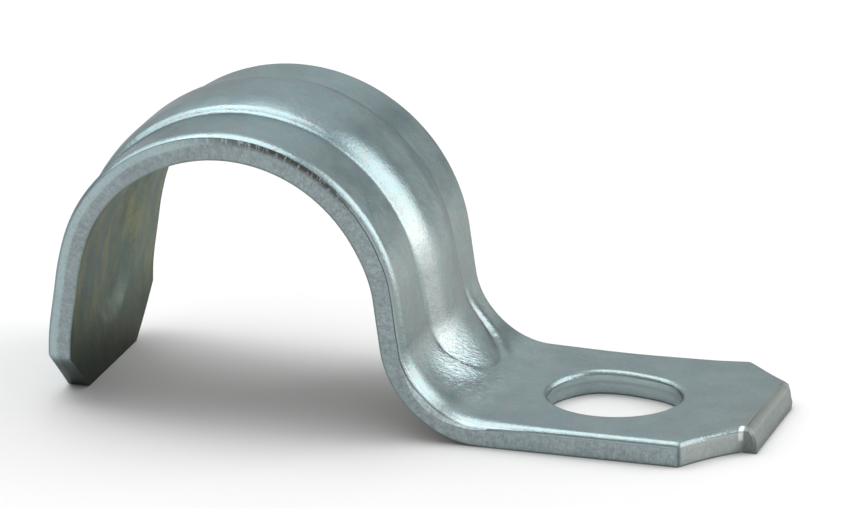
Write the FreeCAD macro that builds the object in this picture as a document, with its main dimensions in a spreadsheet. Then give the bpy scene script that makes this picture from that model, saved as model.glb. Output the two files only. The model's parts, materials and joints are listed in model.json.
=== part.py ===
import FreeCAD, Part
import math
import os
import Sketcher

# One-hole strap for half-inch thin-wall conduit.  It is one strip of plated steel, pressed into a
# leg, a saddle, a shoulder and a screw foot, with a stiffening rib raised along its middle.
#
# Frame: the conduit's axis is Y, through the origin at the middle of the strap's width.  +Z is up,
# away from the wall, the foot points to +X and the leg hangs on the -X side.  Millimetres, degrees.

SIZES = [
    # alias, value, what it is
    ("saddle_bore", 18.3, "inside diameter of the saddle, which grips a 17.93 conduit"),
    ("stock", 1.5, "thickness of the strip"),
    ("strap_width", 15.0, "width of the strip, along the conduit"),
    ("seat_depth", 6.9, "conduit's axis down to the underside of the foot"),
    ("leg_flare", 3.5, "lean of the leg away from the conduit, in degrees"),
    ("shoulder_lean", 8.0, "lean of the shoulder towards the foot, in degrees"),
    ("bend_radius", 4.7, "radius of the bend from shoulder to foot, on its hollow side"),
    ("foot_reach", 31.2, "conduit's axis to the end of the foot"),
    ("foot_corner_length", 3.7, "end of the foot back to where its corners start to be sheared off"),
    ("foot_corner_width", 3.3, "sheared corner of the foot, measured across it"),
    ("foot_tip_length", 0.7, "square tip of the foot, past its sheared corners"),
    ("leg_corner_height", 3.1, "sheared corner of the leg, measured up the leg"),
    ("leg_corner_width", 3.5, "sheared corner of the leg, measured across it"),
    ("screw_hole", 7.9, "diameter of the screw hole"),
    ("hole_clearance", 2.05, "flat of the foot between the bend and the screw hole's rim"),
    ("rib_height", 0.6, "how far the rib stands out of the strip"),
    ("rib_width", 7.0, "width of the rib at its base"),
    ("rib_flank", 1.4, "width of each sloping flank of the rib"),
    ("rib_crest_round", 1.2, "rounding between the rib's flanks and its crest"),
    ("rib_base_round", 0.9, "rounding where the rib's flanks rise from the strip"),
    ("rib_leg_length", 2.7, "how far the rib keeps its full height down the leg"),
    ("rib_leg_runout", 3.6, "radius on which the rib's crest dips into the leg"),
    ("rib_bend_runout", 1.3, "how much wider the rib's crest turns than the bend, so that it sinks"),
    ("edge_roll", 0.45, "rounding that the punch leaves along the upper edges"),
    ("hole_roll", 0.25, "rounding that the punch leaves on the hole's upper edge"),
]

# Formulas that more than one sketch uses, in the sheet's aliases.
SADDLE_RADIUS = "Sizes.saddle_bore / 2"
LEG_ANGLE = "(-90 - Sizes.leg_flare) * 1 deg"
SHOULDER_ANGLE = "(Sizes.shoulder_lean - 90) * 1 deg"
LEAN_SINE = "sin(Sizes.shoulder_lean * 1 deg)"
LEAN_COSINE = "cos(Sizes.shoulder_lean * 1 deg)"
UNDER_BEND = "(Sizes.bend_radius + Sizes.stock)"
# The straight shoulder is as long as it takes to bring the foot down to seat_depth.
SHOULDER_LENGTH = "((%s * %s - %s * (1 - %s) + Sizes.seat_depth) / %s)" % (
    SADDLE_RADIUS, LEAN_SINE, UNDER_BEND, LEAN_SINE, LEAN_COSINE)
# The leg's end is level with the underside of the foot.
LEG_LENGTH = "(Sizes.seat_depth + %s * sin(Sizes.leg_flare * 1 deg)) / cos(Sizes.leg_flare * 1 deg)" % (
    SADDLE_RADIUS)
# Flanks that slope keep the wall's thickness if the groove is narrower than the rib by this.
FLANK_INSET = "Sizes.stock * tan(atan(Sizes.rib_height / Sizes.rib_flank) / 2)"

HALF_WIDTH = "Sizes.strap_width / 2"
# The foot turns flat here, and the screw hole keeps clear of the bend.
BEND_END = "((%s + %s) * %s + %s * %s)" % (
    SADDLE_RADIUS, UNDER_BEND, LEAN_COSINE, SHOULDER_LENGTH, LEAN_SINE)
HOLE_REACH = "%s + Sizes.hole_clearance + Sizes.screw_hole / 2" % BEND_END
# The rib's solid is rooted this deep in the strip, and its crest ends this far under the surface.
RIB_ROOT = "Sizes.stock / 4"
RIB_SINK = "Sizes.stock / 8"
RIB_DEPTH = "(Sizes.rib_height + %s)" % RIB_ROOT

# Sketcher's numbers for the points of a line or an arc, and for the origin.
START, END, CENTRE = range(1, 4)
ORIGIN = (-1, 1)
TOUCH = 0.001

doc = FreeCAD.newDocument("conduit_strap")
sheet = doc.addObject("Spreadsheet::Sheet", "Sizes")
for row, (alias, number, meaning) in enumerate(SIZES, start=1):
    sheet.set("A%d" % row, alias)
    sheet.set("B%d" % row, str(number))
    sheet.set("C%d" % row, meaning)
    sheet.setAlias("B%d" % row, alias)
doc.recompute()

body = doc.addObject("PartDesign::Body", "Strap")
body.Label = "strap"


def value(expression):
    """What an expression in the sheet's aliases comes to, in millimetres or degrees."""
    found = body.evalExpression(expression)
    return float(getattr(found, "Value", found))


def origin_plane(role):
    return [item for item in body.Origin.OriginFeatures if item.Role == role][0]


def sketch_on(role, name):
    """A new sketch of the body on one of its origin planes."""
    sketch = body.newObject("Sketcher::SketchObject", name)
    sketch.AttachmentSupport = [(origin_plane(role), "")]
    sketch.MapMode = "FlatFace"
    return sketch


def dimension(sketch, name, expression, kind, *where):
    """A named dimension of a sketch, driven by an expression."""
    amount = value(expression)
    if kind == "Angle":
        amount = math.radians(amount)
    index = sketch.addConstraint(Sketcher.Constraint(kind, *where, amount))
    sketch.renameConstraint(index, name)
    sketch.setExpression("Constraints." + name, expression)


def join(sketch, kind, *where):
    """A constraint with no number, such as Coincident or Tangent."""
    sketch.addConstraint(Sketcher.Constraint(kind, *where))


def line(sketch, start, end):
    return sketch.addGeometry(Part.LineSegment(FreeCAD.Vector(*start), FreeCAD.Vector(*end)), False)


def arc(sketch, centre, radius, first, last):
    """An arc of a circle, anticlockwise from the first angle to the last, in degrees."""
    circle = Part.Circle(FreeCAD.Vector(*centre), FreeCAD.Vector(0, 0, 1), radius)
    return sketch.addGeometry(Part.ArcOfCircle(circle, math.radians(first), math.radians(last)), False)


def along(start, angle, length):
    """The point at this length from the start, in a direction given in degrees."""
    turn = math.radians(angle)
    return start[0] + length * math.cos(turn), start[1] + length * math.sin(turn), 0.0


def folded_line(sketch, side, offset, leg_length, bend):
    """Leg, saddle, shoulder and bend as tangent lines and arcs in side view.

    offset is measured outwards from the strip's conduit side, and bend is the radius of the last
    arc, which starts where the strap's own bend starts.
    """
    radius = "(%s + %s)" % (SADDLE_RADIUS, offset)
    leg_turn = value(LEG_ANGLE)
    lean = value("Sizes.shoulder_lean")
    saddle_end = along((0, 0), leg_turn - 90, value(radius))
    shoulder_start = along((0, 0), lean, value(radius))
    shoulder_end = along(shoulder_start, lean - 90, value(SHOULDER_LENGTH))
    bend_centre = along(shoulder_end, lean, value(bend))
    ids = {
        "leg": line(sketch, saddle_end, along(saddle_end, leg_turn, value(leg_length))),
        "saddle": arc(sketch, (0, 0, 0), value(radius), lean, leg_turn + 270),
        "shoulder": line(sketch, shoulder_start, shoulder_end),
        "bend": arc(sketch, bend_centre, value(bend), 180 + lean, 250),
    }
    join(sketch, "Coincident", ids["saddle"], CENTRE, *ORIGIN)
    join(sketch, "Tangent", ids["leg"], START, ids["saddle"], END)
    join(sketch, "Tangent", ids["shoulder"], START, ids["saddle"], START)
    join(sketch, "Tangent", ids["shoulder"], END, ids["bend"], START)
    dimension(sketch, side + "_saddle_radius", radius, "Radius", ids["saddle"])
    dimension(sketch, side + "_leg_length", leg_length, "Distance", ids["leg"])
    dimension(sketch, side + "_leg_angle", LEG_ANGLE, "Angle", ids["leg"])
    dimension(sketch, side + "_shoulder_length", SHOULDER_LENGTH, "Distance", ids["shoulder"])
    dimension(sketch, side + "_shoulder_angle", SHOULDER_ANGLE, "Angle", ids["shoulder"])
    dimension(sketch, side + "_bend_radius", bend, "Radius", ids["bend"])
    return ids


# ---- the strip, folded: side view padded across the width -----------------------------------


def draw_strip():
    sketch = sketch_on("XZ_Plane", "SideView")
    under = folded_line(sketch, "under", "0", LEG_LENGTH, UNDER_BEND)
    upper = folded_line(sketch, "upper", "Sizes.stock", LEG_LENGTH, "Sizes.bend_radius")
    reach = value("Sizes.foot_reach")
    depth = value("Sizes.seat_depth")
    top = depth - value("Sizes.stock")
    bend_end = value(BEND_END)
    under["foot"] = line(sketch, (bend_end, -depth, 0), (reach, -depth, 0))
    upper["foot"] = line(sketch, (bend_end, -top, 0), (reach, -top, 0))
    foot_end = line(sketch, (reach, -depth, 0), (reach, -top, 0))
    leg_end = line(sketch, (-reach, -depth, 0), (-reach, -top, 0))
    for ids in (under, upper):
        join(sketch, "Tangent", ids["bend"], END, ids["foot"], START)
        join(sketch, "Horizontal", ids["foot"])
    join(sketch, "Coincident", foot_end, START, under["foot"], END)
    join(sketch, "Coincident", foot_end, END, upper["foot"], END)
    join(sketch, "Vertical", foot_end)
    join(sketch, "Coincident", leg_end, START, under["leg"], END)
    join(sketch, "Coincident", leg_end, END, upper["leg"], END)
    dimension(sketch, "foot_reach", "Sizes.foot_reach", "DistanceX", *ORIGIN, foot_end, START)
    return sketch, upper


side_view, upper_ids = draw_strip()
strip = body.newObject("PartDesign::Pad", "FoldedStrip")
strip.Profile = side_view
strip.SideType = "Symmetric"
strip.setExpression("Length", "Sizes.strap_width")
doc.recompute()


# ---- sheared corners and the screw hole -----------------------------------------------------


def corner(role, name, across, reach, back, inward, tip="0"):
    """Pocket for one sheared corner, drawn in one of the body's planes.

    across says whether the strip's width runs along the sketch's first axis or its second.  The
    strip ends at reach, the cut runs back along the strip and inward across it, and a square tip
    may stand past the cut.
    """
    sketch = sketch_on(role, name + "Outline")
    end, edge = value(reach), value(HALF_WIDTH)
    inner = edge - value(inward)
    run = math.copysign(value(back), end)
    points = [(end, edge), (end - run, edge), (end - math.copysign(value(tip), end), inner)]
    if value(tip) > 0:
        points.append((end, inner))
    length_of, width_of = "DistanceX", "DistanceY"
    parallel, square = "Horizontal", "Vertical"
    if across == "first":
        points = [(second, first) for first, second in points]
        length_of, width_of = width_of, length_of
        parallel, square = square, parallel
    corners = [(first, second, 0) for first, second in points]
    sides = [line(sketch, start, stop) for start, stop in zip(corners, corners[1:] + corners[:1])]
    for side, following in zip(sides, sides[1:] + sides[:1]):
        join(sketch, "Coincident", side, END, following, START)
    along_edge, along_end = sides[0], sides[-1]
    join(sketch, parallel, along_edge)
    join(sketch, square, along_end)
    dimension(sketch, "strip_end", reach, length_of, *ORIGIN, along_edge, START)
    dimension(sketch, "strip_edge", HALF_WIDTH, width_of, *ORIGIN, along_edge, START)
    dimension(sketch, "back", back, "Distance", along_edge)
    dimension(sketch, "inward", inward, "Distance", along_end)
    if value(tip) > 0:
        join(sketch, parallel, sides[2])
        dimension(sketch, "tip", tip, "Distance", sides[2])
    pocket = body.newObject("PartDesign::Pocket", name)
    pocket.Profile = sketch
    pocket.Type = "ThroughAll"
    return pocket


foot_corner = corner("XY_Plane", "FootCorner", "second", "Sizes.foot_reach",
                     "Sizes.foot_corner_length", "Sizes.foot_corner_width", "Sizes.foot_tip_length")
leg_corner = corner("YZ_Plane", "LegCorner", "first", "-Sizes.seat_depth",
                    "Sizes.leg_corner_height", "Sizes.leg_corner_width")
doc.recompute()
corners = body.newObject("PartDesign::Mirrored", "CornersBothSides")
corners.Originals = [foot_corner, leg_corner]
corners.MirrorPlane = (origin_plane("XZ_Plane"), [""])
body.Tip = corners

hole_sketch = sketch_on("XY_Plane", "ScrewHoleOutline")
hole_circle = hole_sketch.addGeometry(
    Part.Circle(FreeCAD.Vector(value(HOLE_REACH), 0, 0), FreeCAD.Vector(0, 0, 1),
                value("Sizes.screw_hole / 2")), False)
join(hole_sketch, "PointOnObject", hole_circle, CENTRE, -1)
dimension(hole_sketch, "reach", HOLE_REACH, "DistanceX", *ORIGIN, hole_circle, CENTRE)
dimension(hole_sketch, "diameter", "Sizes.screw_hole", "Diameter", hole_circle)
screw_hole = body.newObject("PartDesign::Pocket", "ScrewHole")
screw_hole.Profile = hole_sketch
screw_hole.Type = "ThroughAll"
doc.recompute()


# ---- edges rounded by the punch -------------------------------------------------------------


def edge_names(shape, test):
    """Names of the edges that pass a test, for a fillet's Base."""
    return ["Edge%d" % number for number, edge in enumerate(shape.Edges, start=1) if test(edge)]


def touches(shape, edge):
    """Whether an edge, seen from the side, lies along a shape drawn in the middle plane."""
    for share in (0.0, 0.37, 1.0):
        low, high = edge.ParameterRange
        point = edge.valueAt(low + share * (high - low))
        flat = Part.Vertex(point.x, 0, point.z)
        if flat.distToShape(shape)[0] > TOUCH:
            return False
    return True


def drawn(sketch, ids):
    """Lines and arcs of a sketch as one compound, where they lie in the part."""
    shape = Part.Compound([sketch.Geometry[index].toShape() for index in ids])
    shape.Placement = sketch.Placement
    return shape


upper_side = drawn(side_view, upper_ids.values())
full_width = value("Sizes.strap_width") - TOUCH


def on_outline(edge):
    return touches(upper_side, edge) and edge.BoundBox.YLength < full_width


def on_hole(edge):
    return touches(upper_side, edge) and isinstance(edge.Curve, Part.Circle) and (
        abs(edge.Curve.Radius - value("Sizes.screw_hole / 2")) < TOUCH)


def rounded(feature, name, test, radius):
    """A fillet of the edges of a feature that pass a test."""
    fillet = body.newObject("PartDesign::Fillet", name)
    fillet.Base = (feature, edge_names(feature.Shape, test))
    fillet.setExpression("Radius", radius)
    doc.recompute()
    return fillet


rolled = rounded(screw_hole, "RolledOutline", lambda edge: on_outline(edge) and not on_hole(edge),
                 "Sizes.edge_roll")
rolled = rounded(rolled, "RolledHole", on_hole, "Sizes.hole_roll")


# ---- the rib: one section swept along the fold, outside and inside --------------------------


def rib_path(name, lift):
    """The line that the middle of the rib follows, at this lift from the conduit's side.

    Its last arcs sink through the strip's face: one dips into the leg, and the other turns more
    widely than the bend does.
    """
    sketch = sketch_on("XZ_Plane", name)
    below_crest = "(Sizes.stock + Sizes.rib_height - %s)" % lift
    bend = "(Sizes.bend_radius + Sizes.rib_bend_runout + %s)" % below_crest
    dip = "(Sizes.rib_leg_runout - %s)" % below_crest
    ids = folded_line(sketch, "rib", lift, "Sizes.rib_leg_length", bend)
    leg_turn = value(LEG_ANGLE)
    leg_end = sketch.getPoint(ids["leg"], END)
    centre = along((leg_end.x, leg_end.y), leg_turn + 90, value(dip))
    dip_turn = "acos(1 - (Sizes.rib_height + %s) / %s)" % (RIB_SINK, dip)
    ids["dip"] = arc(sketch, centre, value(dip), leg_turn - 90, leg_turn - 90 + value(dip_turn))
    join(sketch, "Tangent", ids["dip"], START, ids["leg"], END)
    dimension(sketch, "dip_radius", dip, "Radius", ids["dip"])
    dimension(sketch, "dip_turn", dip_turn, "Angle", ids["dip"])
    shift = "(Sizes.rib_bend_runout + Sizes.rib_height)"
    sunk = "(Sizes.bend_radius + %s + %s)" % (RIB_SINK, below_crest)
    turn = "acos((%s ^ 2 + %s ^ 2 - %s ^ 2) / (2 * %s * %s))" % (shift, bend, sunk, shift, bend)
    dimension(sketch, "bend_turn", turn, "Angle", ids["bend"])
    return sketch


def rib_section(name, lift, inset, depth):
    """Section of the rib at the top of the saddle: a flat crest between two sloping flanks.

    lift is the height of its crest above the conduit's side of the strip; the flanks carry on
    down at their slope to depth below the crest.
    """
    sketch = sketch_on("YZ_Plane", name)
    crest = value(SADDLE_RADIUS) + value(lift)
    half_crest = "(Sizes.rib_width / 2 - Sizes.rib_flank - %s)" % inset
    half_foot = "(%s + Sizes.rib_flank / Sizes.rib_height * %s)" % (half_crest, depth)
    top, foot = value(half_crest), value(half_foot)
    low = crest - value(depth)
    points = [(-foot, low, 0), (-top, crest, 0), (top, crest, 0), (foot, low, 0)]
    left, crown, right, base = [line(sketch, points[number], points[(number + 1) % 4])
                                for number in range(4)]
    for first, second in ((left, crown), (crown, right), (right, base), (base, left)):
        join(sketch, "Coincident", first, END, second, START)
    join(sketch, "Symmetric", crown, START, crown, END, -2)
    join(sketch, "Symmetric", base, START, base, END, -2)
    height = "%s + %s" % (SADDLE_RADIUS, lift)
    dimension(sketch, "crest_height", height, "DistanceY", *ORIGIN, crown, START)
    dimension(sketch, "crest_width", "2 * " + half_crest, "Distance", crown)
    dimension(sketch, "foot_width", "2 * " + half_foot, "Distance", base)
    dimension(sketch, "depth", depth, "DistanceY", base, START, crown, START)
    return sketch


def swept(kind, name, section, path):
    """The rib's section swept along its path, added or cut away."""
    pipe = body.newObject("PartDesign::" + kind, name)
    pipe.Profile = section
    pipe.Spine = (path, ["Edge%d" % number for number in range(1, len(path.Geometry) + 1)])
    doc.recompute()
    return pipe


crest_path = rib_path("RibPath", "(Sizes.stock + Sizes.rib_height)")
crest_section = rib_section("RibSection", "(Sizes.stock + Sizes.rib_height)", "0", RIB_DEPTH)
rib = swept("AdditivePipe", "Rib", crest_section, crest_path)
groove_path = rib_path("GroovePath", "Sizes.rib_height")
groove_section = rib_section("GrooveSection", "Sizes.rib_height", FLANK_INSET, RIB_DEPTH)
groove = swept("SubtractivePipe", "RibGroove", groove_section, groove_path)


# ---- the rib's folds rounded ----------------------------------------------------------------


def at_rib_base(edge):
    """Whether an edge is where the rib's flanks and ends rise from the strip's upper side."""
    box = edge.BoundBox
    within = value("Sizes.rib_width / 2") + TOUCH
    near_middle = box.YMin > -within and box.YMax < within and box.XMax < value(BEND_END)
    return near_middle and touches(upper_side, edge)


def along_path(path):
    """A test for the two long edges where the rib's flanks meet its flat crest."""
    shape = drawn(path, range(len(path.Geometry)))
    return lambda edge: touches(shape, edge) and edge.BoundBox.YLength < TOUCH


shaped = rounded(groove, "RibCrestRound", along_path(crest_path), "Sizes.rib_crest_round")
shaped = rounded(shaped, "RibBaseRound", at_rib_base, "Sizes.rib_base_round")


# ---- checks and output ----------------------------------------------------------------------

doc.recompute()
for item in doc.Objects:
    if "Invalid" in item.State or "Error" in item.State:
        raise RuntimeError("%s did not build: %s" % (item.Name, item.State))
shape = body.Shape
if shape.isNull() or not shape.isValid() or len(shape.Solids) != 1:
    raise RuntimeError("the strap is not one valid solid")
if not rib.Shape.Volume > rolled.Shape.Volume:
    raise RuntimeError("the rib adds nothing")
if not groove.Shape.Volume < rib.Shape.Volume:
    raise RuntimeError("the groove cuts nothing")
if not screw_hole.Shape.Volume < corners.Shape.Volume < leg_corner.Shape.Volume < strip.Shape.Volume:
    raise RuntimeError("a corner or the hole cuts nothing")

os.makedirs("parts", exist_ok=True)
shape.exportStep("parts/%s.step" % body.Label)
print("strap: volume %.1f mm3, box %s" % (shape.Volume, shape.BoundBox))
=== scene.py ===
"""Looks of the conduit strap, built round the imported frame.

The strap is remade as a flat blank, punched and sheared with rolled upper edges and a torn lower
part to each cut, embossed with its rib and then folded.  Every vertex is kept in blank
coordinates (s along the strip, y across it, o through it) until fold() bends it into place, and
the same coordinates drive the material.  Lengths are in millimetres until the mesh is made.
"""
import json
import math

import bpy
import numpy as np
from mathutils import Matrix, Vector


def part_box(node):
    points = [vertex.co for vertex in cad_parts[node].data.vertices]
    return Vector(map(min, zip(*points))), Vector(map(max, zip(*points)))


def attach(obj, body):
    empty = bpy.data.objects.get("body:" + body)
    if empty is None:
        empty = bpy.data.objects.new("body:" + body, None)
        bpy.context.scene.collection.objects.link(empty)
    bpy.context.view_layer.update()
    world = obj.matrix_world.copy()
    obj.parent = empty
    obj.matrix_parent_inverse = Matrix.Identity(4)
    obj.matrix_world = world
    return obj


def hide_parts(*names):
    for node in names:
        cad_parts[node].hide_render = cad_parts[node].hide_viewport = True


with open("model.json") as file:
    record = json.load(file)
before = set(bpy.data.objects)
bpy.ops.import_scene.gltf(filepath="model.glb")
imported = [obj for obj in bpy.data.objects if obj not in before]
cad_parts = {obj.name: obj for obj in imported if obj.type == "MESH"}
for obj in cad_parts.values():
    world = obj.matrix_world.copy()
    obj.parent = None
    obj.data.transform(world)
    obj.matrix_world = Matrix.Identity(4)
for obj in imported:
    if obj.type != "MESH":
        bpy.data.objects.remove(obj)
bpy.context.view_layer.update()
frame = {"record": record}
mounts = {mount["name"]: mount for mount in frame["record"]["mounts"]}
MM = 0.001

# ---- sizes: from the frame where it has them, else as the strap was measured -----------------

LOW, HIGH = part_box("strap")
SADDLE_RADIUS = mounts["saddle"]["dims"]["r_mm"]
HALF_WIDTH = mounts["saddle"]["dims"]["length_mm"] / 2
HOLE_X = mounts["screw_hole"]["pos_m"][0] / MM
HOLE_RADIUS = mounts["screw_hole"]["dims"]["r_mm"]
SEAT = LOW.z / MM
FOOT_END = HIGH.x / MM
RIB_HEIGHT = 0.6
STOCK = 1.5
LEG_FLARE = math.radians(3.5)
SHOULDER_LEAN = math.radians(8.0)
BEND_RADIUS = 4.7

# ---- small functions ---------------------------------------------------------------------------


def ease(x):
    """0 to 1 with level ends."""
    x = np.clip(x, 0.0, 1.0)
    return x * x * (3 - 2 * x)


def hump(x, centre, reach):
    """1 at centre, fading to next to nothing at twice the reach."""
    return np.exp(-((x - centre) / reach) ** 2)


def ripple(x, seed, scale, octaves=3):
    """A smooth wandering value of about -1 to 1, the same every run."""
    total = np.zeros_like(np.asarray(x, float))
    rng = np.random.RandomState(seed)
    for octave in range(octaves):
        phase = rng.uniform(0, 2 * np.pi, 2)
        pace = 2 ** octave / scale
        total += (np.sin(x * pace + phase[0]) + np.sin(1.7 * x * pace + phase[1])) / 2 ** octave
    return total / (2 * sum(0.5 ** octave for octave in range(octaves)))


# ---- the fold --------------------------------------------------------------------------------

SADDLE_MID = SADDLE_RADIUS + STOCK / 2
BEND_MID = BEND_RADIUS + STOCK / 2
UNDER_BEND = BEND_RADIUS + STOCK
LEG_AXIS = np.array([-math.sin(LEG_FLARE), -math.cos(LEG_FLARE)])
LEG_NORMAL = np.array([-math.cos(LEG_FLARE), math.sin(LEG_FLARE)])
SHOULDER_AXIS = np.array([math.sin(SHOULDER_LEAN), -math.cos(SHOULDER_LEAN)])
SHOULDER_NORMAL = np.array([math.cos(SHOULDER_LEAN), math.sin(SHOULDER_LEAN)])
SHOULDER_LENGTH = (SADDLE_RADIUS * math.sin(SHOULDER_LEAN)
                   - UNDER_BEND * (1 - math.sin(SHOULDER_LEAN)) - SEAT) / math.cos(SHOULDER_LEAN)
LEG_LENGTH = (SADDLE_RADIUS * math.sin(LEG_FLARE) - SEAT) / math.cos(LEG_FLARE)

# Stations along the middle of the stock, from the top of the saddle.
S_LEG = -SADDLE_MID * (math.pi / 2 - LEG_FLARE)
S_LEG_END = S_LEG - LEG_LENGTH
S_SHOULDER = SADDLE_MID * (math.pi / 2 - SHOULDER_LEAN)
S_BEND = S_SHOULDER + SHOULDER_LENGTH
S_FOOT = S_BEND + BEND_MID * (math.pi / 2 - SHOULDER_LEAN)
BEND_CENTRE = SHOULDER_NORMAL * (SADDLE_RADIUS + UNDER_BEND) + SHOULDER_AXIS * SHOULDER_LENGTH
S_FOOT_END = S_FOOT + FOOT_END - BEND_CENTRE[0]

# How far the leg bows out lower down, and in where it leaves the saddle.
LEG_BOW, LEG_DIP = 0.18, 0.10


def foot_station(x):
    """Station along the strip of a point of the foot, from its x."""
    return S_FOOT + x - BEND_CENTRE[0]


def leg_bow(s):
    """How far the leg stands off its straight line: in where it leaves the saddle, out lower down."""
    return LEG_BOW * hump(s, -18.4, 2.2) - LEG_DIP * hump(s, -13.5, 2.2)


def fold(blank):
    """Blank coordinates (s, y, o) to the strap's own frame; o is measured from the underside."""
    s, y, o = blank[:, 0], blank[:, 1], blank[:, 2]
    point = np.zeros((len(s), 2))
    normal = np.zeros((len(s), 2))

    turn = np.pi / 2 - s / SADDLE_MID
    saddle = (s >= S_LEG) & (s <= S_SHOULDER)
    normal[saddle] = np.c_[np.cos(turn), np.sin(turn)][saddle]
    point[saddle] = normal[saddle] * SADDLE_RADIUS

    leg = s < S_LEG
    normal[leg] = LEG_NORMAL
    point[leg] = LEG_NORMAL * SADDLE_RADIUS + np.outer(S_LEG - s[leg], LEG_AXIS)

    shoulder = (s > S_SHOULDER) & (s < S_BEND)
    normal[shoulder] = SHOULDER_NORMAL
    point[shoulder] = (SHOULDER_NORMAL * SADDLE_RADIUS
                       + np.outer(s[shoulder] - S_SHOULDER, SHOULDER_AXIS))

    bend = (s >= S_BEND) & (s <= S_FOOT)
    turn = SHOULDER_LEAN + (s - S_BEND) / BEND_MID
    normal[bend] = np.c_[np.cos(turn), np.sin(turn)][bend]
    point[bend] = BEND_CENTRE - normal[bend] * UNDER_BEND

    foot = s > S_FOOT
    normal[foot] = (0.0, 1.0)
    point[foot] = np.c_[BEND_CENTRE[0] + s[foot] - S_FOOT, np.full(foot.sum(), SEAT)]

    place = point + normal * (o + leg_bow(s))[:, None]
    return np.c_[place[:, 0], y, place[:, 1]]


# ---- the rib -----------------------------------------------------------------------------------

RIB_HALF = 3.45
NEAR_FLANK, NOSE_FLANK, FAR_FLANK = 2.6, 4.6, 2.2
RIB_STEP, RIB_STEP_WIDTH = 0.20, 0.38
RIB_NOSE_START, RIB_NOSE_END = 19.0, 22.7
RIB_TAIL_START, RIB_TAIL_END = S_LEG - 1.9, S_LEG - 4.9
NEAR_DRAG, FAR_DRAG = 0.40, 0.22


def rib_centre(s):
    """The rib runs a little to the far side, and more so as it nears the foot."""
    return 0.3 + 1.5 * ease((s - 12) / 11)


def inside_rib(s, y):
    """How far inside the rib's base a point lies, in millimetres; negative outside."""
    nose = np.maximum(s - RIB_NOSE_START, 0) / (RIB_NOSE_END - RIB_NOSE_START)
    tail = np.maximum(RIB_TAIL_START - s, 0) / (RIB_TAIL_START - RIB_TAIL_END)
    return RIB_HALF - np.hypot(y - rib_centre(s), RIB_HALF * (nose + tail))


def rib_rise(s, y, inset=0.0, softness=1.0):
    """Height of the rib: a short steep step at its base, then flanks that ease into a crown.

    Towards the foot the near flank grows wider and flatter, and the step fades.  Down the leg the
    rib stands a quarter lower.
    """
    lean = np.clip((y - rib_centre(s)) / RIB_HALF, -1, 1)
    soft = ease((s - 9) / 9)
    near = NEAR_FLANK + (NOSE_FLANK - NEAR_FLANK) * soft
    flank = (near + FAR_FLANK) / 2 - (near - FAR_FLANK) / 2 * lean
    inside = inside_rib(s, y) - inset
    high = RIB_STEP * ease((8 - s) / 7)
    step = high * ease(inside / (RIB_STEP_WIDTH * softness))
    share = np.clip(inside / flank, 0, 1)
    full = RIB_HEIGHT * (1 - 0.25 * ease((-5 - s) / 8)) - high
    return step + full * (1 - (1 - share) ** (2.4 - 0.6 * soft))


def drag(s, y):
    """Metal dragged out of the bend round the rib's nose, in low wrinkled swellings."""
    outside = -inside_rib(s, y)
    bearing = np.arctan2(y - rib_centre(s), s - RIB_NOSE_START + 0.5)
    wrinkles = ripple(bearing + 0.10 * outside, 5, 0.020, 3)
    wrinkles = wrinkles + 0.5 * ripple(outside + 0.5 * bearing, 8, 0.05, 2)
    near = hump(s, 20.8, 1.8) * ease((1.8 - y) / 2.5)
    swell = hump(np.maximum(outside, 0), 0, 1.3) * ease((outside + 0.15) / 0.4)
    far = hump(s, 20.6, 2.0) * ease((y - 2.0) / 2.0)
    ridge = hump(outside, 0.55, 0.40)
    return (NEAR_DRAG * near * swell * (1 + 0.16 * wrinkles)
            + FAR_DRAG * far * ridge * (1 + 0.35 * wrinkles))


# ---- the blank's outline -------------------------------------------------------------------------

# Quads along each run of a long side, across the strip and outwards from the hole.
LEG_CUT, SIDE, FOOT_CUT, LAND = 14, 300, 20, 6
LENGTHWISE = LEG_CUT + SIDE + FOOT_CUT + LAND
ACROSS = 84
HOLE_RINGS = 12

# The foot's sheared corners and tips, near and far, and where its end starts to be rolled more.
NEAR_CORNER, NEAR_TIP = foot_station(27.45), foot_station(30.25)
FAR_CORNER, FAR_TIP = foot_station(27.85), foot_station(30.95)
END_ROLL = foot_station(30.75)
HOLE_CENTRE = np.array([foot_station(HOLE_X), -0.15])
HOLE_SPAN = 5.6

# What the press and the shears did: hollows, burrs and metal pushed aside.
CORNER_HOLLOW, FAR_BURR = 0.16, 0.26
NEAR_CROWD, FAR_CROWD = 0.12, 0.24
HOLE_FLAT, HOLE_PEAK = 0.42, 0.10


def stretch(first, last, count):
    """Evenly spaced points from first up to, and not including, last."""
    share = np.arange(count)[:, None] / count
    return np.array(first) * (1 - share) + np.array(last) * share


def side(values):
    """Values at the corners of one long side spread evenly along its runs, leg end first."""
    runs = zip(values[:-1], values[1:], (LEG_CUT, SIDE, FOOT_CUT, LAND))
    return np.vstack([stretch(*run) for run in runs] + [values[-1:]])


def corners():
    """Corners of the near and far sides of the blank, leg end first, as (s, y)."""
    near = np.array([(S_LEG_END, -4.2), (S_LEG_END + 2.80, -HALF_WIDTH),
                     (NEAR_CORNER, -HALF_WIDTH), (NEAR_TIP, -3.95), (S_FOOT_END, -3.95)])
    far = np.array([(S_LEG_END, 4.4), (S_LEG_END + 2.90, HALF_WIDTH),
                    (FAR_CORNER, HALF_WIDTH), (FAR_TIP, 4.75), (S_FOOT_END, 4.25)])
    return near, far


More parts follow.
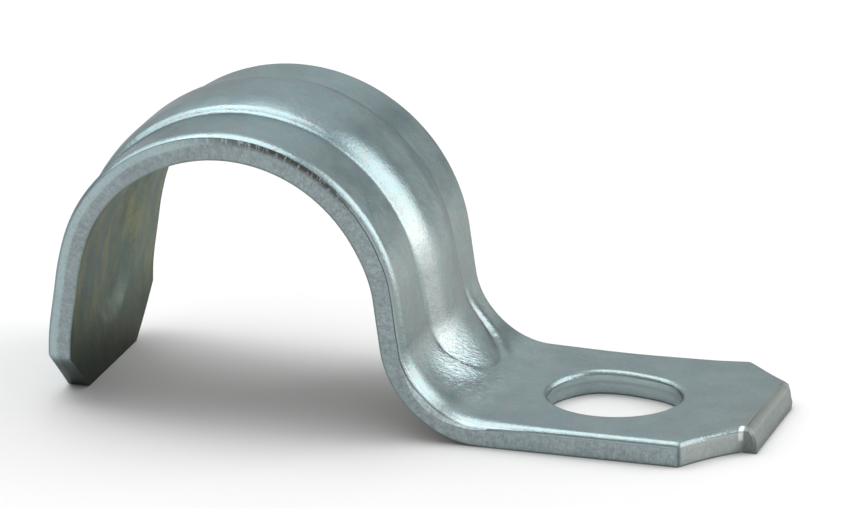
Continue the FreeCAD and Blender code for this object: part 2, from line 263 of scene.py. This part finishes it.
def sides():
    """Near and far sides of the blank, as rows of (s, y)."""
    near, far = [side(points) for points in corners()]
    # the shears bit a shallow hollow into the near corner
    share = np.arange(FOOT_CUT + 1) / FOOT_CUT
    hollow = CORNER_HOLLOW * np.sin(np.pi * share)
    near[LEG_CUT + SIDE:LEG_CUT + SIDE + FOOT_CUT + 1] += np.outer(hollow, (-0.79, 0.61))
    # folding crowds the metal of the bend out sideways
    near[:, 1] -= NEAR_CROWD * hump(near[:, 0], 21.0, 2.5)
    far[:, 1] += FAR_CROWD * hump(far[:, 0], 20.5, 3.0)
    # and the shears pushed a burr out at the far corner
    far[:, 1] += FAR_BURR * hump(far[:, 0], FAR_CORNER, 1.3)
    return near, far


def insets():
    """For each point of the loop round the blank, the move that brings its sides in by 1."""
    near, far = corners()
    steps = inward(np.vstack([near, far[::-1]]))
    return around(side(steps[:len(near)]), side(steps[:len(near) - 1:-1]))


def around(near, far):
    """The closed anticlockwise loop round the blank, from its two sides."""
    across = np.linspace(0, 1, ACROSS + 1)[1:-1, None]
    foot_end = near[-1] * (1 - across) + far[-1] * across
    leg_end = near[0] * (1 - across) + far[0] * across
    return np.vstack([near, foot_end, far[::-1], leg_end[::-1]])


def two_sides(loop):
    """The near and far sides back from a loop that around() made."""
    near = loop[:LENGTHWISE + 1]
    far = loop[LENGTHWISE + ACROSS:2 * LENGTHWISE + ACROSS + 1][::-1]
    return near, far


def unit(vectors):
    """The same vectors, each 1 long."""
    return vectors / np.linalg.norm(vectors, axis=1)[:, None]


def inward(loop):
    """For each corner of a loop, the move that brings its two sides in by 1."""
    ahead = unit(np.roll(loop, -1, 0) - loop)
    behind = np.roll(ahead, 1, 0)
    left = np.c_[-ahead[:, 1], ahead[:, 0]]
    middle = unit(left + np.c_[-behind[:, 1], behind[:, 0]])
    return middle / (middle * left).sum(1)[:, None]


# ---- the blank's surfaces ------------------------------------------------------------------------

TOP, CUT, UNDER, HOLE_CUT = range(4)
ROLL_STEPS, WALL_STEPS = 7, 10
HOLE_ROLL, HOLE_ROLL_DEPTH = 0.32, 0.20
TEAR, HOLE_TEAR = 0.04, 0.17
BEND_THINNING, UNDER_BURR = 0.14, 0.11


class Blank:
    """Points and faces of the strap before it is folded."""

    def __init__(self):
        self.points = []
        self.finish = []
        self.faces = []

    def add(self, spots, heights, part, drop=0.0):
        """Adds points at (s, y) and height o, and returns their numbers.

        drop is how far down a cut face a point lies.
        """
        start = len(self.points)
        self.points.extend(np.c_[spots, heights].tolist())
        cut, under = float(part in (CUT, HOLE_CUT)), float(part == UNDER)
        drops = np.broadcast_to(drop, len(spots))
        self.finish.extend([(cut, under, depth) for depth in drops])
        return np.arange(start, len(self.points))

    def bridge(self, first, second):
        """Quads between two closed loops; first is the right-hand one seen from outside."""
        rows = np.c_[first, np.roll(first, -1), np.roll(second, -1), second]
        self.faces.extend(rows.tolist())


def hole_radius(bearing):
    """The punched hole is round, with its far side pressed a little flat and a peak beside it."""
    flat = HOLE_FLAT * hump(bearing, 1.35, 0.55)
    return HOLE_RADIUS - flat + HOLE_PEAK * hump(bearing, 2.15, 0.22)


def net(near, far):
    """Rows of points from the near side to the far side."""
    across = np.linspace(0, 1, ACROSS + 1)[None, :, None]
    return near[:, None] * (1 - across) + far[:, None] * across


def hole_window(near, far):
    """The part of the net left out round the hole: its limits, its loop and the bearings of it."""
    grid = net(near, far)
    columns = np.where(np.abs(grid[:, ACROSS // 2, 0] - HOLE_CENTRE[0]) < HOLE_SPAN)[0]
    rows = np.where(np.abs(grid[columns[0], :, 1]) < HOLE_SPAN)[0]
    left, right, low, high = columns[0], columns[-1], rows[0], rows[-1]
    loop = ([(column, low) for column in range(left, right)]
            + [(right, row) for row in range(low, high)]
            + [(column, high) for column in range(right, left, -1)]
            + [(left, row) for row in range(high, low, -1)])
    away = np.array([grid[spot] for spot in loop]) - HOLE_CENTRE
    return (left, right, low, high), loop, np.arctan2(away[:, 1], away[:, 0])


def sheet(blank, near, far, window, hole_growth, height, part):
    """The upper or under face, a net with rings round the hole; returns its outer and hole loops."""
    (left, right, low, high), loop, bearings = window
    grid = net(near, far)
    kept = np.ones(grid.shape[:2], bool)
    kept[left + 1:right, low + 1:high] = False
    number = np.full(grid.shape[:2], -1)
    number[kept] = blank.add(grid[kept], height(grid[kept]), part)
    quads = np.stack([number[:-1, :-1], number[1:, :-1], number[1:, 1:], number[:-1, 1:]], 2)
    solid = np.ones(quads.shape[:2], bool)
    solid[left:right, low:high] = False
    faces = quads[solid]
    blank.faces.extend((faces[:, ::-1] if part == UNDER else faces).tolist())

    square = np.array([grid[spot] for spot in loop])
    rim = hole_rim(bearings, hole_growth)
    rings = []
    for ring in range(HOLE_RINGS):
        share = (ring / HOLE_RINGS) ** 1.4
        spots = rim * (1 - share) + square * share
        rings.append(blank.add(spots, height(spots), part))
    rings.append(np.array([number[spot] for spot in loop]))
    for inner, outer in zip(rings[:-1], rings[1:]):
        if part == UNDER:
            blank.bridge(inner, outer)
        else:
            blank.bridge(outer, inner)

    edge = np.r_[number[:, 0], number[-1, 1:-1], number[::-1, -1], number[0, -2:0:-1]]
    return edge, rings[0]


def hole_rim(bearings, growth):
    """Points of the hole's edge at the given bearings, grown outwards."""
    reach = hole_radius(bearings) + growth
    return HOLE_CENTRE + np.c_[reach * np.cos(bearings), reach * np.sin(bearings)]


def cut_face(blank, place, upper, under, width, depth, tear, part, seed):
    """The sheared face under a rolled edge: burnished above, torn and set back by tear below."""
    rings = [upper]
    for number in range(1, ROLL_STEPS + 1):
        share = (number / ROLL_STEPS) ** 0.8
        spots = place(width * (1 - share))
        drop = depth * share ** 2
        rings.append(blank.add(spots, top_height(spots) - drop, part, drop))
    for number in range(1, WALL_STEPS):
        share = number / WALL_STEPS
        spots = place(0.0)
        high, low = top_height(spots) - depth, under_height(spots)
        torn = ease((share - 0.30) / 0.15)
        rough = 0.012 * ripple(spots[:, 0] * 3 + spots[:, 1] * 5, seed + number, 0.5)
        spots = place(torn * (tear * (0.3 + 0.7 * share) + rough))
        drop = depth * (1 - share) + STOCK * share
        rings.append(blank.add(spots, high * (1 - share) + low * share, part, drop))
    rings.append(under)
    for above, below in zip(rings[:-1], rings[1:]):
        if part == HOLE_CUT:
            blank.bridge(above, below)
        else:
            blank.bridge(below, above)


def top_height(spots):
    """Height of the upper face at (s, y)."""
    return STOCK + rib_rise(spots[:, 0], spots[:, 1]) + drag(spots[:, 0], spots[:, 1])


def under_height(spots):
    """Height of the under face: the rib's groove, a thinner bend and a burr under the near edge."""
    s, y = spots[:, 0], spots[:, 1]
    thinned = BEND_THINNING * hump(s, 21.0, 2.5)
    burr = UNDER_BURR * ease((-y - HALF_WIDTH + 0.35) / 0.3) * ease((s + 9) / 4) * ease((14 - s) / 4)
    return rib_rise(s, y, inset=0.3, softness=4.0) + thinned - burr


def roll(loop):
    """Width and depth of the rolled upper edge, broadest in the bend and deepest at the foot's end."""
    s, y = loop[:, 0], loop[:, 1]
    foot = ease((s - S_BEND) / (S_FOOT - S_BEND))
    bend = hump(s, 21.0, np.where(s < 21, 3.2, 4.5)) * ease((2 - y) / 4)
    slack = hump(s, 30.0, 4.0) * ease(y / 4)
    end = ease((s - END_ROLL) / 0.4)
    width = 0.52 - 0.14 * foot + 1.20 * bend + 0.30 * end + 0.5 * slack
    depth = 0.20 + 0.01 * foot + 0.42 * bend + 0.80 * end + 0.05 * slack
    return width, depth


def make_blank():
    """The whole strap, flat."""
    blank = Blank()
    near, far = sides()
    loop = around(near, far)
    step = insets()
    width, depth = roll(loop)

    window = hole_window(near, far)
    top_sides = two_sides(loop + step * width[:, None])
    upper, upper_hole = sheet(blank, *top_sides, window, HOLE_ROLL, top_height, TOP)
    under_sides = two_sides(loop + step * TEAR)
    under, under_hole = sheet(blank, *under_sides, window, HOLE_TEAR, under_height, UNDER)

    cut_face(blank, lambda inset: loop + step * np.broadcast_to(inset, len(loop))[:, None],
             upper, under, width, depth, TEAR, CUT, seed=11)
    cut_face(blank, lambda inset: hole_rim(window[2], inset),
             upper_hole, under_hole, HOLE_ROLL, HOLE_ROLL_DEPTH, HOLE_TEAR, HOLE_CUT, seed=31)
    return blank


def make_strap():
    """The folded strap as one closed mesh."""
    blank = make_blank()
    flat = np.array(blank.points)
    mesh = bpy.data.meshes.new("strap_formed")
    mesh.from_pydata((fold(flat) * MM).tolist(), [], blank.faces)
    mesh.attributes.new("blank", "FLOAT_VECTOR", "POINT").data.foreach_set("vector", flat.ravel())
    finish = np.array(blank.finish).ravel()
    mesh.attributes.new("finish", "FLOAT_VECTOR", "POINT").data.foreach_set("vector", finish)
    mesh.polygons.foreach_set("use_smooth", [True] * len(mesh.polygons))
    mesh.set_sharp_from_angle(angle=math.radians(50))
    mesh.validate()
    strap = bpy.data.objects.new("strap_formed", mesh)
    bpy.context.collection.objects.link(strap)
    return strap


# ---- materials -----------------------------------------------------------------------------------


class Nodes:
    """Short calls for building a material's node tree."""

    def __init__(self, name):
        self.material = bpy.data.materials.new(name)
        self.material.use_nodes = True
        self.tree = self.material.node_tree
        self.shader = self.tree.nodes["Principled BSDF"]

    def add(self, kind, **settings):
        """A new node with the given settings."""
        node = self.tree.nodes.new(kind)
        for key, setting in settings.items():
            setattr(node, key, setting)
        return node

    def feed(self, node, name, value):
        """Links a socket to an input, or sets its value."""
        if isinstance(value, bpy.types.NodeSocket):
            self.tree.links.new(value, node.inputs[name])
        else:
            node.inputs[name].default_value = value

    def attribute(self, name):
        """A vector that the mesh carries."""
        return self.add("ShaderNodeAttribute", attribute_name=name).outputs["Vector"]

    def maths(self, operation, first, second=0.0, third=0.0):
        """One arithmetic step on up to three values."""
        node = self.add("ShaderNodeMath", operation=operation)
        for number, value in enumerate((first, second, third)):
            self.feed(node, number, value)
        return node.outputs[0]

    def product(self, first, *others):
        """All the values multiplied."""
        for other in others:
            first = self.maths("MULTIPLY", first, other)
        return first

    def split(self, vector):
        """The three parts of a vector."""
        node = self.add("ShaderNodeSeparateXYZ")
        self.feed(node, 0, vector)
        return list(node.outputs)

    def scaled(self, vector, x, y, z):
        """A vector with each part scaled."""
        node = self.add("ShaderNodeMapping")
        self.feed(node, "Vector", vector)
        self.feed(node, "Scale", (x, y, z))
        return node.outputs["Vector"]

    def noise(self, vector, scale, detail=3.0, roughness=0.5):
        """Cloudy noise of about 0 to 1."""
        node = self.add("ShaderNodeTexNoise")
        self.feed(node, "Vector", vector)
        self.feed(node, "Scale", scale)
        self.feed(node, "Detail", detail)
        self.feed(node, "Roughness", roughness)
        return node.outputs["Fac"]

    def spread(self, value, low, high, to_low=0.0, to_high=1.0):
        """Smoothly from to_low, where value is low, to to_high, where it is high."""
        node = self.add("ShaderNodeMapRange", interpolation_type="SMOOTHSTEP")
        for name, setting in (("Value", value), ("From Min", low), ("From Max", high),
                              ("To Min", to_low), ("To Max", to_high)):
            self.feed(node, name, setting)
        return node.outputs["Result"]

    def band(self, value, start, full, fading, end):
        """1 where value lies from full to fading, falling to 0 at start and end."""
        return self.product(self.spread(value, start, full), self.spread(value, end, fading))

    def mix(self, share, first, second):
        """The first colour, with a share of the second."""
        node = self.add("ShaderNodeMix", data_type="RGBA")
        self.feed(node, "Factor", share)
        for number, colour in ((6, first), (7, second)):
            linked = isinstance(colour, bpy.types.NodeSocket)
            self.feed(node, number, colour if linked else (*colour, 1))
        return node.outputs[2]


class PlatedSteel(Nodes):
    """Bright zinc plate, with burnished and torn zones on its cut faces and a dull underside kept dark
    with painted shade.

    along and across are the blank's s and y, in millimetres; drop is how far down a cut face lies.
    """

    def __init__(self):
        super().__init__("zinc_plate")
        self.blank = self.attribute("blank")
        self.along, self.across = self.split(self.blank)[:2]
        self.cut, self.under, self.drop = self.split(self.attribute("finish"))
        self.clouds = self.noise(self.blank, 0.45, 3.0, 0.6)
        self.mottle = self.noise(self.blank, 3.1, 3.0, 0.65)
        self.grain = self.noise(self.blank, 7.0, 2.0, 0.6)
        self.striae = self.noise(self.scaled(self.blank, 3.6, 3.6, 1.1), 1.0, 4.0, 0.75)
        # the cut faces below their rolled edge
        self.on_face = self.product(self.cut, self.spread(self.drop, 0.22, 0.27))
        self.over_leg = self.spread(self.along, 3.0, -4.0)
        # the torn zone starts at a wavering depth, and lower over the leg
        self.waver = self.maths("MULTIPLY_ADD", self.clouds, 0.22, self.drop)
        leg_waver = self.maths("MULTIPLY_ADD", self.over_leg, -0.24, self.waver)
        self.torn_zone = self.spread(leg_waver, 0.44, 0.64)
        # metal crowded together by the rib's nose, in wrinkles that run round the nose
        self.crowded = self.product(self.band(self.along, 17.6, 20.2, 22.4, 25.2),
                                    self.spread(self.across, 2.6, -0.6),
                                    self.spread(self.across, -5.2, -3.6))
        round_nose = self.add("ShaderNodeCombineXYZ")
        athwart = self.maths("SUBTRACT", self.along, self.across)
        self.feed(round_nose, "X", self.maths("MULTIPLY", athwart, 3.6))
        self.feed(round_nose, "Y", self.maths("ADD", self.along, self.across))
        self.wrinkles = self.noise(round_nose.outputs["Vector"], 1.0, 3.0, 0.6)

    def skin(self):
        """Rolled skin: soft clouds of tint, finer mottling and a scatter of specks."""
        blue, grey = (0.250, 0.325, 0.338), (0.300, 0.372, 0.375)
        colour = self.mix(self.spread(self.clouds, 0.35, 0.65), blue, grey)
        warmth = self.noise(self.scaled(self.blank, 1, 1, 1.3), 1.1, 4.0, 0.7)
        colour = self.mix(self.spread(warmth, 0.50, 0.72, 0.0, 0.40), colour, (0.345, 0.345, 0.345))
        tint = self.noise(self.scaled(self.blank, 0.8, 1.4, 0.7), 2.3, 3.0, 0.6)
        colour = self.mix(self.spread(tint, 0.54, 0.70, 0.0, 0.35), colour, (0.225, 0.345, 0.330))
        colour = self.zones(colour)
        brown, cyan = (0.290, 0.275, 0.265), (0.215, 0.365, 0.410)
        colour = self.mix(self.spread(self.mottle, 0.50, 0.66, 0.0, 0.45), colour, brown)
        colour = self.mix(self.spread(self.mottle, 0.50, 0.34, 0.0, 0.45), colour, cyan)
        dark, light = (0.155, 0.195, 0.200), (0.42, 0.47, 0.47)
        colour = self.mix(self.spread(self.grain, 0.62, 0.76, 0.0, 0.55), colour, dark)
        return self.mix(self.spread(self.grain, 0.36, 0.24, 0.0, 0.45), colour, light)

    def zones(self, colour):
        """Warm shoulder and foot's end, cool saddle and leg, a darker foot and a painted highlight on
        the rib's near flank.
        """
        shoulder = self.band(self.along, 8.0, 14.0, 17.5, 21.0)
        warm = self.maths("ADD", shoulder, self.spread(self.along, 36.5, 40.5))
        colour = self.mix(self.product(warm, 0.55), colour, (0.285, 0.310, 0.285))
        cool = self.spread(self.along, 10.0, 4.0, 0.0, 0.35)
        colour = self.mix(cool, colour, (0.235, 0.345, 0.375))
        foot = self.spread(self.along, 24.0, 27.0, 0.0, 0.45)
        colour = self.mix(foot, colour, (0.220, 0.280, 0.292))
        # painted highlight on the rib's near flank
        return self.mix(self.product(self.flank_painted_highlight(), 0.75), colour, (0.450, 0.490, 0.470))

    def flank_painted_highlight(self):
        """Painted highlight: the rib's near flank lightened where the strip runs down to the bend."""
        rib_base = self.maths("MULTIPLY_ADD", self.along, -0.17, self.across)
        up_flank = self.maths("ADD", rib_base, 5.32)
        return self.product(self.band(up_flank, 0.05, 0.35, 1.2, 2.4),
                            self.band(self.along, 9.0, 13.0, 18.5, 21.5))

    def sheared_face(self):
        """A burnished band, lighter over the leg with a painted highlight, then torn metal with faint
        striations; painted shade at the leg's tip and along the step between the zones.
        """
        torn = self.mix(self.spread(self.striae, 0.30, 0.72), (0.265, 0.335, 0.350),
                        (0.385, 0.450, 0.460))
        torn = self.mix(self.spread(self.grain, 0.56, 0.70, 0.0, 0.4), torn, (0.13, 0.15, 0.15))
        torn = self.mix(self.spread(self.grain, 0.40, 0.28, 0.0, 0.5), torn, (0.52, 0.57, 0.58))
        torn = self.mix(self.product(self.over_leg, 0.25), torn, (0.275, 0.305, 0.325))
        torn = self.mix(self.spread(self.mottle, 0.46, 0.62, 0.0, 0.4), torn, (0.235, 0.250, 0.270))
        # the burnished band: real burnish, made lighter over the leg as a painted highlight
        smooth = self.mix(self.over_leg, (0.335, 0.405, 0.415), (0.365, 0.460, 0.478))
        smooth = self.mix(self.spread(self.grain, 0.54, 0.68, 0.0, 0.35), smooth, (0.20, 0.24, 0.25))
        face = self.mix(self.torn_zone, smooth, torn)
        # painted shade: the downward-facing shear face at the leg's tip, darkened almost to black
        leg_corner_painted_shade = self.spread(self.along, -19.35, -20.4, 0.0, 0.85)
        face = self.mix(leg_corner_painted_shade, face, (0.085, 0.100, 0.090))
        return self.corner_and_hole(self.zone_step_painted_shade(face))

    def zone_step_painted_shade(self, face):
        """Painted shade: a thin dark line along the step between the two zones, from the saddle on,
        fainter along the foot.
        """
        thin = self.product(self.band(self.waver, 0.44, 0.48, 0.51, 0.56),
                            self.spread(self.along, 5.0, 9.0),
                            self.spread(self.along, 27.0, 18.0, 0.25, 0.80))
        return self.mix(thin, face, (0.05, 0.06, 0.065))

    def corner_and_hole(self, face):
        """Warmer metal and a dark seam at the foot's sheared corners, lighter metal in the hole."""
        corner = self.band(self.along, 36.72, 36.86, 39.4, 39.7)
        face = self.mix(self.product(corner, 0.5), face, (0.46, 0.49, 0.45))
        seam = self.band(self.along, 36.56, 36.66, 36.70, 36.80)
        face = self.mix(self.product(seam, 0.7), face, (0.10, 0.12, 0.12))
        off_hole = self.add("ShaderNodeVectorMath", operation="DISTANCE")
        self.feed(off_hole, 0, self.scaled(self.blank, 1, 1, 0))
        self.feed(off_hole, 1, (*HOLE_CENTRE, 0))
        pierced = self.spread(off_hole.outputs["Value"], 4.9, 4.5)
        return self.mix(self.product(pierced, 0.75), face, (0.42, 0.50, 0.51))

    def scuffs(self):
        """Dark scuffs under the rolled edges, over the saddle."""
        return self.product(self.band(self.along, -4.0, 3.0, 6.0, 10.0),
                            self.band(self.drop, 0.17, 0.24, 0.36, 0.72),
                            self.spread(self.striae, 0.38, 0.52), self.cut, 0.90)

    def dull_end_and_lip_highlight(self, colour):
        """The foot's dull rolled end, and a painted highlight on the lip at its near tip."""
        end = self.spread(self.along, 39.1, 39.8, 0.0, 0.65)
        colour = self.mix(end, colour, (0.215, 0.225, 0.205))
        # painted highlight on the lip at the foot's near tip
        lip = self.product(self.band(self.along, 39.28, 39.40, 39.52, 39.66),
                           self.spread(self.across, -3.35, -3.65), self.spread(self.drop, 0.9, 0.6))
        return self.mix(lip, colour, (0.72, 0.76, 0.76))

    def underside(self):
        """Dull metal with an olive cast and ochre streaks, kept dark as painted shade, and darkest,
        almost black, at the leg's tip.
        """
        streaks = self.noise(self.scaled(self.blank, 0.30, 0.95, 1.0), 1.0, 4.0, 0.55)
        # the olive cast and ochre streaks are real; their darkness is partly painted shade
        dull = self.mix(self.spread(streaks, 0.40, 0.66), (0.135, 0.185, 0.165), (0.215, 0.235, 0.155))
        dull = self.mix(self.spread(self.grain, 0.60, 0.74, 0.0, 0.5), dull, (0.07, 0.09, 0.08))
        dull = self.mix(self.spread(self.mottle, 0.48, 0.66, 0.0, 0.5), dull, (0.150, 0.120, 0.110))
        # painted shade: the underside darkened almost to black towards the leg's tip
        return self.mix(self.spread(self.along, -16.5, -21.0, 0.0, 0.75), dull, (0.050, 0.055, 0.045))

    def roughness(self):
        """Rougher where the face is torn, at the foot's end and on the underside."""
        rough = self.spread(self.clouds, 0.3, 0.7, 0.27, 0.35)
        torn = self.product(self.on_face, self.torn_zone)
        rough = self.maths("MULTIPLY_ADD", torn, 0.16, rough)
        rough = self.maths("ADD", rough, self.spread(self.along, 39.2, 39.7, 0.0, 0.22))
        return self.maths("MULTIPLY_ADD", self.under, 0.10, rough)

    def relief(self):
        """Fine relief: grain all over, striations on the cut faces, wrinkles by the rib's nose."""
        height = self.maths("MULTIPLY_ADD", self.noise(self.blank, 1.7, 3.0, 0.6), 1.4, self.grain)
        height = self.maths("MULTIPLY_ADD", self.product(self.striae, self.on_face), 1.2, height)
        height = self.maths("MULTIPLY_ADD", self.product(self.wrinkles, self.crowded), 3.8, height)
        bump = self.add("ShaderNodeBump")
        self.feed(bump, "Height", height)
        self.feed(bump, "Strength", 1.0)
        self.feed(bump, "Distance", 0.015 * MM)
        return bump.outputs["Normal"]

    def finished(self):
        """The whole material."""
        colour = self.mix(self.on_face, self.skin(), self.sheared_face())
        colour = self.mix(self.scuffs(), colour, (0.045, 0.036, 0.030))
        # painted highlight: light glints on the wrinkles round the rib's nose
        wrinkle_painted_highlight = self.product(self.crowded, self.spread(self.wrinkles, 0.48, 0.68, 0.0, 0.75))
        colour = self.mix(wrinkle_painted_highlight, colour, (0.47, 0.56, 0.60))
        colour = self.mix(self.under, self.dull_end_and_lip_highlight(colour), self.underside())
        self.feed(self.shader, "Base Color", colour)
        self.feed(self.shader, "Roughness", self.roughness())
        self.feed(self.shader, "Metallic", 1.0)
        self.feed(self.shader, "Specular Tint", (0.55, 0.55, 0.55, 1))
        self.feed(self.shader, "Normal", self.relief())
        return self.material


def floor_material():
    """Matt white paper."""
    nodes = Nodes("white_paper")
    nodes.feed(nodes.shader, "Base Color", (0.72, 0.72, 0.72, 1))
    nodes.feed(nodes.shader, "Roughness", 0.9)
    return nodes.material


# ---- floor, lights and camera --------------------------------------------------------------------


def make_floor():
    """The sheet of paper that the strap stands on."""
    mesh = bpy.data.meshes.new("floor")
    reach = 1.2
    mesh.from_pydata([(-reach, -reach, LOW.z), (reach, -reach, LOW.z),
                      (reach, reach, LOW.z), (-reach, reach, LOW.z)], [], [(0, 1, 2, 3)])
    mesh.materials.append(floor_material())
    floor = bpy.data.objects.new("floor", mesh)
    bpy.context.collection.objects.link(floor)


def toward(bearing, height):
    """The way to a bearing and a height, in degrees; bearings turn from the near side to the foot."""
    turn, lift = math.radians(bearing), math.radians(height)
    return Vector((math.sin(turn) * math.cos(lift), -math.cos(turn) * math.cos(lift), math.sin(lift)))


def hold(name, data, target, way, distance):
    """An object that looks at the target from the given way."""
    holder = bpy.data.objects.new(name, data)
    holder.location = target + way * distance
    holder.rotation_euler = way.to_track_quat("Z", "Y").to_euler()
    bpy.context.collection.objects.link(holder)
    return holder


def soft_box(name, bearing, height, distance, size, brightness):
    """An area lamp that looks at the strap, unseen by the camera.

    Brightness is as the world's is, where 1 is white.
    """
    lamp = bpy.data.lights.new(name, "AREA")
    lamp.shape = "RECTANGLE"
    lamp.size, lamp.size_y = size
    lamp.energy = brightness * math.pi * lamp.size * lamp.size_y
    holder = hold(name, lamp, (LOW + HIGH) / 2, toward(bearing, height), distance)
    holder.visible_camera = False


def make_camera():
    """A long lens from the near side, a little above and to the right."""
    lens = bpy.data.cameras.new("camera")
    lens.sensor_width = 36.0
    lens.lens = 328.3
    lens.clip_start, lens.clip_end = 0.01, 10.0
    target = Vector((0.009652, 0.0, 0.00194))
    way = toward(bearing=17.05, height=18.48)
    bpy.context.scene.camera = hold("camera", lens, target, way, distance=0.45)


def make_world():
    """An even white surround."""
    world = bpy.data.worlds.new("studio")
    world.use_nodes = True
    bpy.context.scene.world = world
    background = world.node_tree.nodes["Background"]
    background.inputs["Color"].default_value = (1, 1, 1, 1)
    background.inputs["Strength"].default_value = 0.58


strap = make_strap()
strap.data.materials.append(PlatedSteel().finished())
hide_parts("strap")
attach(strap, "root")
make_floor()
make_world()
# name, bearing and height in degrees, distance and size in metres, brightness
soft_box("window", 118, 27, 0.60, (0.48, 0.60), 2.5)
soft_box("card", 136, -5, 0.037, (0.026, 0.012), 0.45)
soft_box("left", -102, 42, 0.60, (0.32, 0.45), 2.0)
soft_box("overhead", -130, 77, 0.55, (0.44, 0.44), 2.6)
soft_box("reflector", -155, 28, 0.70, (0.75, 0.60), 0.50)
make_camera()
bpy.context.scene.view_settings.view_transform = "Standard"
